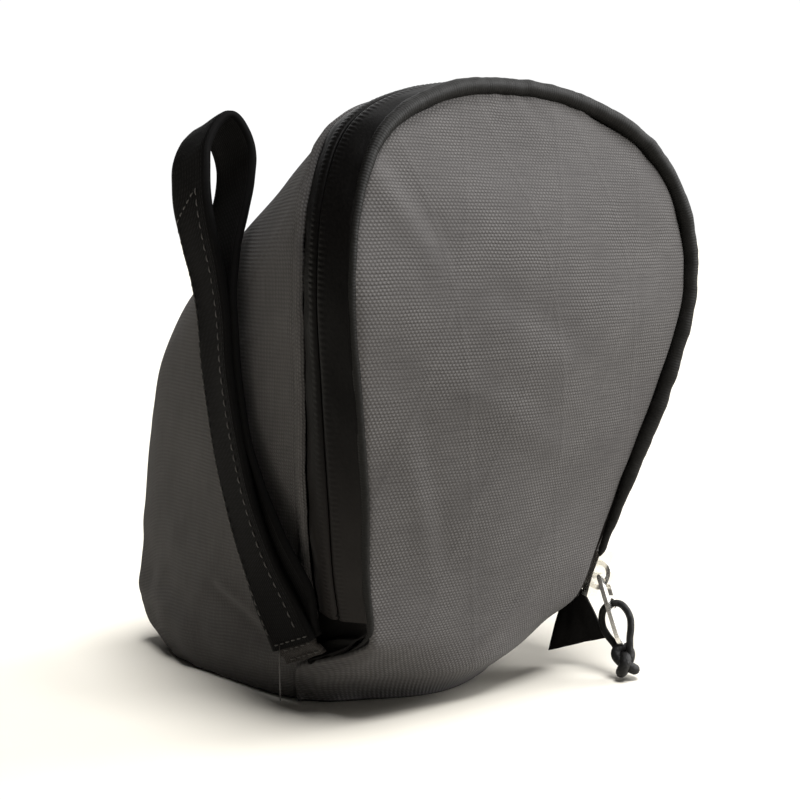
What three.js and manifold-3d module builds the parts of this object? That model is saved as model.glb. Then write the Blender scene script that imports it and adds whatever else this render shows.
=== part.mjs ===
// Bicycle saddle bag standing on its base: an egg-shaped zipped face on a soft hollow body, with a
// webbing strap sewn low on each side. Millimetres, +Z up. The face looks towards -Y, the back towards
// +Y, and the origin is the middle of the base, on the surface that the bag stands on.
import * as THREE from 'three';
import { mergeVertices } from 'three/addons/utils/BufferGeometryUtils.js';
import Module from 'manifold-3d';

const wasm = await Module();
wasm.setup();

// Walls, and the clearance that neighbouring pieces keep
const CLOTH = 1.6;
const TAPE = 1.2;
const BASE_THICKNESS = 2;
const GAP = 0.3;
const WALL_FOOT = BASE_THICKNESS + GAP;

// Half outlines from the top middle down to the base, as fractions of the half width and the height:
// the egg of the face and the rounded box of the back
const OUTLINE = [
  { faceOut: 0.0, faceUp: 1.0, backOut: 0.0, backUp: 1.0 },
  { faceOut: 0.41, faceUp: 0.983, backOut: 0.42, backUp: 0.995 },
  { faceOut: 0.775, faceUp: 0.922, backOut: 0.8, backUp: 0.955 },
  { faceOut: 0.95, faceUp: 0.826, backOut: 0.965, backUp: 0.84 },
  { faceOut: 1.0, faceUp: 0.698, backOut: 1.0, backUp: 0.7 },
  { faceOut: 0.926, faceUp: 0.541, backOut: 1.01, backUp: 0.54 },
  { faceOut: 0.811, faceUp: 0.384, backOut: 1.02, backUp: 0.384 },
  { faceOut: 0.73, faceUp: 0.25, backOut: 1.02, backUp: 0.25 },
  { faceOut: 0.648, faceUp: 0.14, backOut: 1.02, backUp: 0.14 },
  { faceOut: 0.6, faceUp: 0.06, backOut: 1.01, backUp: 0.06 },
  { faceOut: 0.56, faceUp: 0.0, backOut: 0.97, backUp: 0.0 },
];

// Rings of the bag from the face to the back. bow carries the upper middle forwards, tuck draws the
// foot in under the bag, and square turns the egg into the box.
const FACE_RING = { half: 61, top: 169.5, yTop: -67, yLow: -54, bow: 14.2, tuck: 8, square: 0 };
const BODY_RINGS = [
  { half: 62.5, top: 171.5, yTop: -47, yLow: -34, bow: 14.2, tuck: 8, square: 0.33 },
  { half: 57.5, top: 149, yTop: -15, yLow: -2, bow: 8, tuck: 0, square: 0.6 },
  { half: 52.5, top: 131, yTop: 14, yLow: 20, bow: 3, tuck: 0, square: 0.8 },
  { half: 48, top: 116, yTop: 36, yLow: 39, bow: 0, tuck: 0, square: 0.95 },
  { half: 43, top: 96, yTop: 48, yLow: 62, bow: 0, tuck: -13, square: 1 },
];
const TUCK_HEIGHT = 0.14;
// Makes bow the farthest that the curve up * up * (1 - up) reaches forwards
const BOW_PEAK = 27 / 4;

// Middle profiles of the face and of the back, from the top to the base
const FACE_PROFILE = [
  { y: -67.5, z: 169.3 },
  { y: -74, z: 156 },
  { y: -81, z: 140 },
  { y: -83.5, z: 118 },
  { y: -79.5, z: 91 },
  { y: -72.5, z: 65 },
  { y: -66.5, z: 43 },
  { y: -60, z: 25 },
  { y: -51.5, z: 9.5 },
  { y: -43, z: WALL_FOOT },
];
const BACK_PROFILE = [
  { y: 48.5, z: 94 },
  { y: 55, z: 75 },
  { y: 60, z: 53 },
  { y: 63.5, z: 31 },
  { y: 62.5, z: 14 },
  { y: 57, z: 5.5 },
  { y: 50, z: WALL_FOOT },
];

// Ring parameters: 0 is the left foot, 0.5 the top and 1 the right foot
const MIDDLE = 0.5;
const ZIP_LEFT = 0.115;
const ZIP_RIGHT = 0.9;
const ZIP_END_LOW = 0.055;
const ZIP_END_GAP = 0.003;
const PIPING_LEFT = 0.055;
const PIPING_RIGHT = 0.861;
const RIM_TURN_HIGH = 0.097;
const RIM_TURN_LOW = 0.035;
const PANEL_CORNER = 0.05;

const PIPING_RADIUS = 2.3;
// Zip band: its width between the piping and the body, the slit between its tapes, and the gap at its seam
const BAND = { width: 17, bulge: 2, slit: 0.8, seamGap: 0.7 };
// Folds that close the band's two ends lie a little lower than its tapes
const FOLD = { dip: 2.5, edge: 0.4 };
// At the right end the slider turns the band forwards: a ridge stands out, and the slit nears the piping
const TWIST = {
  out: 4, forward: 6, skew: 1.45, slit: 0.3, from: 0.72, full: 0.875, fade: 0.9, end: 0.94,
};

// Slider and pull, in the slider's own frame: x runs down the zip, y across it and z out of the tape
const SLIDER_AT = 0.885;
const SLIDER = { length: 14.5, width: 9, nose: 6, round: 1, plate: 2, lift: 0.6 };
const SLIDER_NECK = { at: -1, length: 4, width: 0.4 };
const SLIDER_KEEL = { length: 11, width: 4.4, thick: 1.6, below: 1.4 };
const BRIDGE = { length: 9, width: 2.2, inner: 2.85, bar: 1.4, sunk: 0.2 };
const HINGE_ABOVE_PLATE = 1.45;
const PULL = { length: 21.6, width: 6.4, tip: 5, thick: 1.4, barRadius: 0.7, slot: 3.2, slotEnd: 6.2 };
const PULL_HOLE = { at: 8.6, radius: 1.7 };
const PULL_SWING = THREE.MathUtils.degToRad(40.5);
const KNOT = { at: 26.6, out: -0.8, length: 9.2, width: 7.6 };
const CORD_RADIUS = 1.1;
// Route of the cord loop through the pull's hole: distance down the pull and out of its face
const CORD_ROUTE = [
  { down: 21.6, out: -2.3 },
  { down: 19.8, out: -2.9 },
  { down: 17.5, out: -4.0 },
  { down: 14.6, out: -4.8 },
  { down: 12.1, out: -4.5 },
  { down: 9.7, out: -3.2 },
  { down: 8.7, out: -1.2 },
  { down: 8.7, out: 1.2 },
  { down: 9.7, out: 3.2 },
  { down: 12.1, out: 4.5 },
  { down: 14.6, out: 4.8 },
  { down: 17.5, out: 4.0 },
  { down: 19.8, out: 2.9 },
  { down: 21.6, out: 2.3 },
];

// Straps: the middle line of the right one from its sewn foot up. open is half the distance between
// its two layers, which part at the top into a loop, and turn is the angle in degrees by which its rear
// edge is nearer to the bag than its front edge.
const STRAP = { width: 20, layer: 2, slant: 6, slantReach: 0.2 };
const STRAP_LINE = [
  { x: 52.4, y: -33.2, z: 18, open: 0.2, turn: 8 },
  { x: 55.2, y: -30.7, z: 33, open: 0.2, turn: 8 },
  { x: 57.2, y: -27.5, z: 48, open: 0.2, turn: 9 },
  { x: 58.8, y: -24, z: 62, open: 0.2, turn: 10 },
  { x: 60.3, y: -20.5, z: 78, open: 0.2, turn: 11 },
  { x: 61.3, y: -18, z: 95, open: 0.2, turn: 12 },
  { x: 61.2, y: -16, z: 111, open: 0.4, turn: 12 },
  { x: 61.2, y: -14.6, z: 121, open: 1.7, turn: 12 },
  { x: 61.1, y: -13.6, z: 130, open: 3.8, turn: 12 },
  { x: 60.3, y: -12.5, z: 139, open: 5.5, turn: 12 },
  { x: 59, y: -11.3, z: 147, open: 6.4, turn: 12 },
  { x: 57.6, y: -10.2, z: 153.5, open: 5.8, turn: 12 },
  { x: 56.5, y: -9.2, z: 159, open: 3.8, turn: 12 },
  { x: 56, y: -8.6, z: 162.3, open: 0, turn: 12 },
];
// Folded tab below a strap's sewn end
const STRAP_FOOT = { drop: 8, inset: 1.8, thick: 1.4 };
// Free tab at the zip's right end: its upper edge on the band, and its spread lower edge
const ZIP_TAB_THICKNESS = 1.4;
const ZIP_TAB = {
  frontHigh: new THREE.Vector3(47.2, -51.9, 22.6),
  frontLow: new THREE.Vector3(51.5, -58, 10),
  rearHigh: new THREE.Vector3(51.6, -45.6, 21.8),
  rearLow: new THREE.Vector3(41.5, -43.5, 4.5),
};

// Facets of the walls and of the round pieces
const GRID = {
  face: { columns: 16, rows: 20 },
  back: { columns: 12, rows: 14 },
  body: { columns: 40, rows: 14 },
  tape: { columns: 48, rows: 3 },
  fold: { columns: 5, rows: 4 },
  tab: { columns: 4, rows: 4 },
  strap: { columns: 48, rows: 2 },
  foot: { columns: 2, rows: 4 },
};
const FACETS = { baseSide: 10, pipingPoints: 40, piping: 72, cord: 28, tube: 4, arc: 6, bar: 10, knot: 12 };
const STEP = 1e-3;

const COLOURS = {
  canvas: 0x5d5a56, webbing: 0x161616, coated: 0x1b1b1c, steel: 0xd4d4d2, cord: 0x121212,
};
const MATERIALS = {
  canvas: new THREE.MeshStandardMaterial({ color: COLOURS.canvas, roughness: 0.85, metalness: 0 }),
  webbing: new THREE.MeshStandardMaterial({ color: COLOURS.webbing, roughness: 0.8, metalness: 0 }),
  coated: new THREE.MeshStandardMaterial({ color: COLOURS.coated, roughness: 0.45, metalness: 0 }),
  steel: new THREE.MeshStandardMaterial({ color: COLOURS.steel, roughness: 0.22, metalness: 1 }),
  cord: new THREE.MeshStandardMaterial({ color: COLOURS.cord, roughness: 0.75, metalness: 0 }),
};

const { lerp, smoothstep } = THREE.MathUtils;
const BACKWARDS = new THREE.Vector3(0, 1, 0);
const bag = new THREE.Group();

function addPiece(name, geometry, material, parent = bag) {
  const piece = new THREE.Mesh(geometry, material);
  piece.name = name;
  parent.add(piece);
}

function fractions(count) {
  return Array.from({ length: count + 1 }, (_, i) => i / count);
}

function mirrored(point) {
  return new THREE.Vector3(-point.x, point.y, point.z);
}

// Rings and surfaces of the bag

function ringCurve({ half, top, yTop, yLow, bow, tuck, square }) {
  const side = OUTLINE.map(({ faceOut, faceUp, backOut, backUp }) => {
    const out = lerp(faceOut, backOut, square);
    const up = lerp(faceUp, backUp, square);
    const forwards = bow * BOW_PEAK * up * up * (1 - up);
    const drawnIn = tuck * Math.max(0, 1 - up / TUCK_HEIGHT) ** 2;
    const y = lerp(yLow, yTop, up) - forwards + drawnIn;
    return new THREE.Vector3(half * out, y, lerp(WALL_FOOT, top, up));
  });
  return new THREE.CatmullRomCurve3([...side.slice(1).reverse().map(mirrored), ...side]);
}

const faceCurve = ringCurve(FACE_RING);
const bodyCurves = BODY_RINGS.map(ringCurve);
const bodySeam = bodyCurves[0];
const backCurve = bodyCurves.at(-1);

// Sideways and upwards direction that points out of the bag on a ring
function outward(curve, s) {
  return curve.getTangent(s).cross(BACKWARDS).normalize();
}

// Rim of the face's panel: its seam with the zip band, and below the zip's ends the body's seam
function rimPoint(s) {
  const fromFoot = Math.min(s, 1 - s);
  const onBody = 1 - smoothstep(fromFoot, RIM_TURN_LOW, RIM_TURN_HIGH);
  const seam = bodySeam.getPoint(s).addScaledVector(BACKWARDS, -CLOTH);
  return faceCurve.getPoint(s).lerp(seam, onBody);
}

function pipingPoint(s) {
  return rimPoint(s).addScaledVector(outward(faceCurve, s), PIPING_RADIUS + GAP);
}

// Front edge of the zip band, beside the piping
function bandEdge(s) {
  const run = pipingPoint(s + STEP).sub(pipingPoint(s - STEP)).normalize();
  const intoBand = outward(faceCurve, s).cross(run).normalize();
  return pipingPoint(s).addScaledVector(intoBand, PIPING_RADIUS + GAP);
}

// How far the band is turned forwards, and where its slit runs across it
function twistAt(s) {
  return smoothstep(s, TWIST.from, TWIST.full) * (1 - smoothstep(s, TWIST.fade, TWIST.end));
}

function slitAt(s) {
  return lerp(MIDDLE, TWIST.slit, twistAt(s));
}

// Zip band between the piping and the body's seam
function gussetPoint(s, across) {
  const front = bandEdge(s);
  const ridge = twistAt(s) * Math.sin(Math.PI * across ** TWIST.skew);
  const bulge = BAND.bulge * Math.sin(Math.PI * across) + TWIST.out * ridge;
  return front.lerp(bodySeam.getPoint(s), across)
    .addScaledVector(outward(bodySeam, s), bulge)
    .addScaledVector(BACKWARDS, -TWIST.forward * ridge);
}

function bodyPoint(s, along) {
  return new THREE.CatmullRomCurve3(bodyCurves.map((curve) => curve.getPoint(s))).getPoint(along);
}

// A panel whose rows are arcs from one side of its rim, through its middle profile, to the other side
function panelPoint(rim, profile, across, down) {
  const edge = rim(lerp(MIDDLE + PANEL_CORNER, 1, down));
  const middle = profile.getPoint(down);
  const share = across * across;
  return new THREE.Vector3(across * edge.x, lerp(middle.y, edge.y, share), lerp(middle.z, edge.z, share));
}

function profileCurve(rows) {
  return new THREE.CatmullRomCurve3(rows.map(({ y, z }) => new THREE.Vector3(0, y, z)));
}

// Solids

function meshGeometry(points, triangles) {
  const geometry = new THREE.BufferGeometry();
  const coordinates = points.flatMap((point) => point.toArray());
  geometry.setAttribute('position', new THREE.Float32BufferAttribute(coordinates, 3));
  geometry.setIndex(triangles.flat());
  return geometry;
}

// Wall of even thickness under a surface point(u, v), u and v from 0 to 1. facing is 1 where u, v and
// the way out of the wall are right-handed, and -1 where they are left-handed.
function wall(point, { columns, rows }, thickness, facing) {
  const outer = [];
  const inner = [];
  for (let row = 0; row <= rows; row += 1) {
    for (let column = 0; column <= columns; column += 1) {
      const u = column / columns;
      const v = row / rows;
      const alongU = point(Math.min(u + STEP, 1), v).sub(point(Math.max(u - STEP, 0), v));
      const alongV = point(u, Math.min(v + STEP, 1)).sub(point(u, Math.max(v - STEP, 0)));
      const out = alongU.cross(alongV).normalize().multiplyScalar(facing);
      outer.push(point(u, v));
      inner.push(point(u, v).addScaledVector(out, -thickness));
    }
  }
  const count = outer.length;
  const at = (column, row) => row * (columns + 1) + column;
  const triangles = [];
  const addQuad = (a, b, c, d) => {
    triangles.push(...(facing > 0 ? [[a, b, c], [a, c, d]] : [[a, c, b], [a, d, c]]));
  };
  for (let row = 0; row < rows; row += 1) {
    for (let column = 0; column < columns; column += 1) {
      const [a, b] = [at(column, row), at(column + 1, row)];
      const [c, d] = [at(column + 1, row + 1), at(column, row + 1)];
      addQuad(a, b, c, d);
      addQuad(a + count, d + count, c + count, b + count);
    }
  }
  const addEdge = (a, b) => addQuad(b, a, a + count, b + count);
  for (let column = 0; column < columns; column += 1) {
    addEdge(at(column, 0), at(column + 1, 0));
    addEdge(at(column + 1, rows), at(column, rows));
  }
  for (let row = 0; row < rows; row += 1) {
    addEdge(at(columns, row), at(columns, row + 1));
    addEdge(at(0, row + 1), at(0, row));
  }
  return meshGeometry([...outer, ...inner], triangles);
}

function roundTube(points, radius, steps) {
  const section = new THREE.Shape().absarc(0, 0, radius, 0, 2 * Math.PI);
  const extrudePath = new THREE.CatmullRomCurve3(points);
  return new THREE.ExtrudeGeometry(section, { steps, extrudePath, curveSegments: FACETS.tube });
}

function plate(shape, depth, z) {
  const options = { depth, bevelEnabled: false, curveSegments: FACETS.arc };
  return new THREE.ExtrudeGeometry(shape, options).translate(0, 0, z);
}

function toSolid(geometry) {
  const bare = geometry.clone();
  bare.deleteAttribute('normal');
  bare.deleteAttribute('uv');
  const { attributes, index } = mergeVertices(bare);
  const mesh = new wasm.Mesh({
    numProp: 3,
    vertProperties: Float32Array.from(attributes.position.array),
    triVerts: Uint32Array.from(index.array),
  });
  return new wasm.Manifold(mesh);
}

function toGeometry(solid) {
  const { vertProperties, triVerts } = solid.getMesh();
  const geometry = new THREE.BufferGeometry();
  geometry.setAttribute('position', new THREE.BufferAttribute(Float32Array.from(vertProperties), 3));
  geometry.setIndex(Array.from(triVerts));
  return geometry;
}

function joined(geometries) {
  const [first, ...rest] = geometries.map(toSolid);
  return toGeometry(rest.reduce((sum, solid) => sum.add(solid), first));
}

// Panels and walls of the bag

function addPanels() {
  const faceProfile = profileCurve(FACE_PROFILE);
  const facePoint = (u, v) => panelPoint(rimPoint, faceProfile, 2 * u - 1, v);
  addPiece('front_panel', wall(facePoint, GRID.face, CLOTH, -1), MATERIALS.canvas);

  const inset = CLOTH + GAP;
  const backRim = (s) => backCurve.getPoint(s).addScaledVector(outward(backCurve, s), -inset);
  const backProfile = profileCurve(BACK_PROFILE);
  const backPoint = (u, v) => panelPoint(backRim, backProfile, 2 * u - 1, v);
  addPiece('back_panel', wall(backPoint, GRID.back, CLOTH, 1), MATERIALS.canvas);

  addPiece('body_shell', wall(bodyPoint, GRID.body, CLOTH, 1), MATERIALS.canvas);
  addBase(facePoint, backPoint);
}

// Flat base with the outline of the feet of the walls that stand on it
function addBase(facePoint, backPoint) {
  const steps = fractions(FACETS.baseSide);
  const feet = [
    ...steps.map((t) => facePoint(t, 1)),
    ...steps.map((t) => bodyPoint(1, t)),
    ...steps.map((t) => backPoint(1 - t, 1)),
    ...steps.map((t) => bodyPoint(0, 1 - t)),
  ];
  const outline = new THREE.Shape(feet.map(({ x, y }) => new THREE.Vector2(x, y)));
  addPiece('base_panel', plate(outline, BASE_THICKNESS, 0), MATERIALS.canvas);
}

// Zip band

function addZip() {
  const halfSlit = BAND.slit / 2 / BAND.width;
  const seamEdge = 1 - BAND.seamGap / BAND.width;
  const along = (u) => lerp(ZIP_LEFT, ZIP_RIGHT, u);
  const frontTape = (u, v) => gussetPoint(along(u), lerp(0, slitAt(along(u)) - halfSlit, v));
  const rearTape = (u, v) => gussetPoint(along(u), lerp(slitAt(along(u)) + halfSlit, seamEdge, v));
  addPiece('zip_tape_front', wall(frontTape, GRID.tape, TAPE, 1), MATERIALS.coated);
  addPiece('zip_tape_rear', wall(rearTape, GRID.tape, TAPE, 1), MATERIALS.coated);

  const ends = [
    { name: 'zip_end_left', side: -1, high: ZIP_LEFT - ZIP_END_GAP, low: ZIP_END_LOW },
    { name: 'zip_end_right', side: 1, high: ZIP_RIGHT + ZIP_END_GAP, low: 1 - ZIP_END_LOW },
  ];
  for (const { name, side, high, low } of ends) {
    const fold = (u, v) => {
      const s = lerp(high, low, u);
      const across = lerp(FOLD.edge / BAND.width, seamEdge, v);
      const dip = FOLD.dip * Math.sin(Math.PI * v) * Math.sin(Math.PI * u);
      return gussetPoint(s, across).addScaledVector(outward(bodySeam, s), -dip);
    };
    addPiece(name, wall(fold, GRID.fold, TAPE, side), MATERIALS.coated);
  }

  const route = fractions(FACETS.pipingPoints).map((t) => pipingPoint(lerp(PIPING_LEFT, PIPING_RIGHT, t)));
  addPiece('front_piping', roundTube(route, PIPING_RADIUS, FACETS.piping), MATERIALS.coated);
}

// Slider with its bridge, and the pull that swings on it

function sliderFrame() {
  const at = slitAt(SLIDER_AT);
  const along = gussetPoint(SLIDER_AT + STEP, at).sub(gussetPoint(SLIDER_AT - STEP, at)).normalize();
  const across = gussetPoint(SLIDER_AT, at + STEP).sub(gussetPoint(SLIDER_AT, at - STEP)).normalize();
  const out = along.clone().cross(across).normalize();
  const frame = new THREE.Group();
  frame.position.copy(gussetPoint(SLIDER_AT, at));
  frame.setRotationFromMatrix(new THREE.Matrix4().makeBasis(along, out.clone().cross(along), out));
  return frame;
}

function addSlider(frame) {
  const { length, width, nose, round, plate: thick, lift } = SLIDER;
  const [end, half, tip] = [length / 2, width / 2, nose / 2];
  const outline = new THREE.Shape();
  outline.moveTo(-end, -half);
  outline.lineTo(0, -half);
  outline.lineTo(end, -tip);
  outline.lineTo(end, tip);
  outline.lineTo(0, half);
  outline.lineTo(-end, half);
  outline.quadraticCurveTo(-end - round, 0, -end, -half);
  const top = lift + thick;
  const bottom = -TAPE - SLIDER_KEEL.below - SLIDER_KEEL.thick;
  const neck = new THREE.BoxGeometry(SLIDER_NECK.length, SLIDER_NECK.width, top - bottom)
    .translate(SLIDER_NECK.at, 0, (top + bottom) / 2);
  const keel = new THREE.BoxGeometry(SLIDER_KEEL.length, SLIDER_KEEL.width, SLIDER_KEEL.thick)
    .translate(0, 0, bottom + SLIDER_KEEL.thick / 2);
  const slider = joined([plate(outline, thick, lift), neck, keel, bridgeArch(top)]);
  addPiece('slider', slider, MATERIALS.steel, frame);
}

// Arch on the slider's upper plate, with the opening that the pull's bar turns in
function bridgeArch(foot) {
  const { length, width, inner, bar, sunk } = BRIDGE;
  const [reach, rise, inside] = [length / 2, inner + bar, length / 2 - bar];
  const arch = new THREE.Shape();
  arch.moveTo(-reach, 0);
  arch.lineTo(-inside, 0);
  arch.quadraticCurveTo(-inside, inner, 0, inner);
  arch.quadraticCurveTo(inside, inner, inside, 0);
  arch.lineTo(reach, 0);
  arch.quadraticCurveTo(reach, rise, 0, rise);
  arch.quadraticCurveTo(-reach, rise, -reach, 0);
  return plate(arch, width, -width / 2).rotateX(Math.PI / 2).translate(0, 0, foot - sunk);
}

function pullFrame(frame) {
  const swing = new THREE.Group();
  swing.position.set(0, 0, SLIDER.lift + SLIDER.plate + HINGE_ABOVE_PLATE);
  swing.rotation.y = -PULL_SWING;
  frame.add(swing);
  return swing;
}

function addPull(swing) {
  const { length, width, tip, thick, barRadius, slot, slotEnd } = PULL;
  const [half, end] = [width / 2, tip / 2];
  const outline = new THREE.Shape();
  outline.moveTo(0, -half);
  outline.lineTo(slotEnd, -half);
  outline.lineTo(length - end, -end);
  outline.absarc(length - end, 0, end, -Math.PI / 2, Math.PI / 2);
  outline.lineTo(slotEnd, half);
  outline.lineTo(0, half);
  const eye = new THREE.Path();
  eye.moveTo(barRadius, -slot / 2);
  eye.lineTo(barRadius, slot / 2);
  eye.lineTo(slotEnd, slot / 2);
  eye.lineTo(slotEnd, -slot / 2);
  const hole = new THREE.Path().absarc(PULL_HOLE.at, 0, PULL_HOLE.radius, 0, 2 * Math.PI, true);
  outline.holes.push(eye, hole);
  const bar = new THREE.CylinderGeometry(barRadius, barRadius, width, FACETS.bar);
  const tab = joined([plate(outline, thick, -thick / 2), bar]);
  addPiece('pull_tab', tab, MATERIALS.steel, swing);

  const route = CORD_ROUTE.map(({ down, out }) => new THREE.Vector3(down, 0, out));
  addPiece('pull_cord', roundTube(route, CORD_RADIUS, FACETS.cord), MATERIALS.cord, swing);
  const lump = new THREE.SphereGeometry(1, FACETS.knot, FACETS.knot / 2)
    .scale(KNOT.width / 2, KNOT.length / 2, KNOT.width / 2)
    .rotateZ(-Math.PI / 2)
    .translate(KNOT.at, 0, KNOT.out);
  addPiece('pull_knot', joined([lump]), MATERIALS.cord, swing);
}

function addZipTab() {
  const { frontHigh, frontLow, rearHigh, rearLow } = ZIP_TAB;
  const surface = (u, v) => {
    const frontEdge = frontHigh.clone().lerp(frontLow, v);
    return frontEdge.lerp(rearHigh.clone().lerp(rearLow, v), u);
  };
  addPiece('zip_tab_right', wall(surface, GRID.tab, ZIP_TAB_THICKNESS, -1), MATERIALS.coated);
}

// Webbing straps and their feet

function strapRibbon(side) {
  const { width, slant, slantReach } = STRAP;
  const rows = STRAP_LINE.map(({ x, y, z, open, turn }) => {
    const angle = THREE.MathUtils.degToRad(turn);
    const level = new THREE.Vector3(-side * Math.sin(angle), Math.cos(angle), 0);
    return { at: new THREE.Vector3(side * x, y, z), open, level };
  });
  const middle = new THREE.CatmullRomCurve3(rows.map(({ at }) => at));
  const levels = new THREE.CatmullRomCurve3(rows.map(({ level }) => level));
  const layer = (sign) => rows.map(({ at, open, level }, i) => {
    const out = middle.getTangent(i / (rows.length - 1)).cross(level).normalize();
    return at.clone().addScaledVector(out, sign * side * open);
  });
  const route = new THREE.CatmullRomCurve3([...layer(-1), ...layer(1).slice(0, -1).reverse()]);
  return (u, v) => {
    const fromEnd = Math.min(u, 1 - u);
    const lean = middle.getTangent(fromEnd * 2);
    const across = levels.getPoint(fromEnd * 2).projectOnPlane(lean).normalize();
    const cut = slant * (MIDDLE - v) * (1 - smoothstep(fromEnd, 0, slantReach));
    return route.getPoint(u).addScaledVector(across, (v - MIDDLE) * width).addScaledVector(lean, cut);
  };
}

function addStraps() {
  for (const [end, side] of [['left', -1], ['right', 1]]) {
    const ribbon = strapRibbon(side);
    addPiece(`strap_${end}`, wall(ribbon, GRID.strap, STRAP.layer, side), MATERIALS.webbing);

    const { drop, inset, thick } = STRAP_FOOT;
    const down = ribbon(0, MIDDLE).sub(ribbon(STEP, MIDDLE)).normalize();
    const foot = (u, v) => ribbon(0, v)
      .addScaledVector(down, lerp(GAP, drop, u))
      .add(new THREE.Vector3(-side * inset * u, 0, 0));
    addPiece(`strap_foot_${end}`, wall(foot, GRID.foot, thick, -side), MATERIALS.canvas);
  }
}

addPanels();
addZip();
const sliderGroup = sliderFrame();
bag.add(sliderGroup);
addSlider(sliderGroup);
addPull(pullFrame(sliderGroup));
addZipTab();
addStraps();

export default bag;
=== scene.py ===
"""Bicycle saddle bag standing on its base: canvas panels, a coated zip band with a nickel slider, a satin
piping round the face, and a doubled webbing strap sewn low on each side. The shapes are worked out in
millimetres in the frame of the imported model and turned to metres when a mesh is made."""
import math
from functools import partial

import bpy
import numpy as np
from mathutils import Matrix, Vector


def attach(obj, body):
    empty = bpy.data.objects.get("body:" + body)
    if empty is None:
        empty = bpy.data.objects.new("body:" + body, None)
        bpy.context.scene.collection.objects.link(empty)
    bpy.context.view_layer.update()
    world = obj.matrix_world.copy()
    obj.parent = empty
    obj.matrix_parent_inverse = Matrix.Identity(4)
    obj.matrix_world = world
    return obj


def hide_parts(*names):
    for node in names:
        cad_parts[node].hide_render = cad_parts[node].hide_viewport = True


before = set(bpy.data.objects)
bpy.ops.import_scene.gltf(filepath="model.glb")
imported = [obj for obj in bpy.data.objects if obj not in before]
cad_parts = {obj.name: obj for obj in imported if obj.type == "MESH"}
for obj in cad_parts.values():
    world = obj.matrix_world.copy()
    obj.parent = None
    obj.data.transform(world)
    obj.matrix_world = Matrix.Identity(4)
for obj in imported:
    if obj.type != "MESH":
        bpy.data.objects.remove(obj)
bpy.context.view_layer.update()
MM = 0.001

# Camera of the photograph, whose frame is square
CAMERA_EYE = (-273.95, -346.92, 132.82)
CAMERA_AZIMUTH, CAMERA_PITCH = -40.0, 6.559
CAMERA_LENS = 64.575

# Half outlines of the face and of the back, as shares of the half width and the height
OUTLINE = np.array([
    # face out, face up, back out, back up
    (0.0, 1.0, 0.0, 1.0), (0.41, 0.983, 0.42, 0.995), (0.775, 0.922, 0.8, 0.955),
    (0.95, 0.826, 0.965, 0.84), (1.0, 0.698, 1.0, 0.7), (0.926, 0.541, 1.01, 0.54),
    (0.811, 0.384, 1.02, 0.384), (0.73, 0.25, 1.02, 0.25), (0.648, 0.14, 1.02, 0.14),
    (0.6, 0.06, 1.01, 0.06), (0.56, 0.0, 0.97, 0.0),
])
# Share of a ring's height below which it is drawn in, and what makes its bow 1 at the peak
TUCK_HEIGHT = 0.14
BOW_PEAK = 27 / 4
# Lowest place of the lofted walls, and of their hems once they are drawn down to the floor
WALL_FOOT, HEM_FOOT = 2.3, 0.35
# Rings of the loft: half width, top, y at the top, y at the foot, bow, tuck, squareness
FACE_RING = (61, 169.5, -67, -54, 14.2, 8, 0)
BODY_RINGS = [
    (62.5, 171.5, -47, -34, 14.2, 8, 0.33),
    (57.5, 149, -15, -2, 8, 0, 0.6),
    (52.5, 131, 14, 20, 3, 0, 0.8),
    (48, 116, 36, 39, 0, 0, 0.95),
    (43, 96, 48, 62, 0, -13, 1),
]
# How far each body ring is drawn in on the left, and the heights where that comes and goes
PINCH, PINCH_REACH = (4.4, 3.6, 0, 0, 0), (2, 22, 24, 66)
FACE_PROFILE = [(0, -67.5, 169.3), (0, -74, 156), (0, -81, 140), (0, -83.5, 118), (0, -79.5, 91),
                (0, -72.5, 65), (0, -66.5, 43), (0, -60.5, 25), (0, -55, 10.5), (0, -48, WALL_FOOT)]
BACK_PROFILE = [(0, 48.5, 94), (0, 55, 75), (0, 60, 53), (0, 63.5, 31), (0, 62.5, 14), (0, 57, 5.5),
                (0, 50, WALL_FOOT)]

# How far the walls roll under at the front, the back and the face
ROLL_FRONT, ROLL_BACK, ROLL_FACE = 3.0, 1.0, 6.0

CANVAS_THICK, TAPE_THICK, BASE_THICK, TAB_THICK = 1.6, 1.2, 2.0, 1.4
GAP = 0.3
# Places along a ring are shares of it, from the left foot over the top to the right foot
ZIP_LEFT, ZIP_RIGHT, ZIP_END_LOW = 0.115, 0.9, 0.062
PIPING_LEFT, PIPING_RIGHT = 0.082, 0.868
# Near its feet the face's rim leaves its own ring and turns to the body's seam
RIM_TURN_LEFT, RIM_TURN_RIGHT = (0.04, 0.112), (0.035, 0.097)
PANEL_CORNER = 0.05
PIPING_RADIUS = 2.3
BAND_WIDTH, BAND_BULGE = 17, 2
# Towards the slider the band twists out and forward, and its slit moves towards the face
TWIST_OUT, TWIST_FORWARD, TWIST_SKEW, TWIST_SLIT = 4, 6, 1.45, 0.3
TWIST_REACH = (0.72, 0.875, 0.9, 0.94)

SLIDER_AT = 0.885
HINGE_HEIGHT = 4.05
PULL_SWING = math.radians(40.5)
# Half of the cord's loop: places down the pull and out of its face, from inside the knot to the pull's eye
CORD_RADIUS = 1.1
CORD_INTO_KNOT = [(25.2, 1.0), (23.4, 1.7)]
CORD_HALF = [(21.6, 2.3), (19.8, 2.9), (17.5, 4.0), (14.6, 4.8), (12.1, 4.5), (9.7, 3.2), (8.7, 1.2)]
KNOT_AT, KNOT_OUT = 26.2, -0.8
KNOT_SPREAD = np.array((1.38, 1.08, 1.55))

STRAP_WIDTH, STRAP_LAYER, STRAP_RUN = 20, 2, 330
# The strap's ends are cut at a slant, which fades up the strap
STRAP_SLANT, STRAP_SLANT_REACH = 3.5, 0.2
# Share of the strap's run that is turned under at each end
STRAP_TRIM = 0.01
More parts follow.
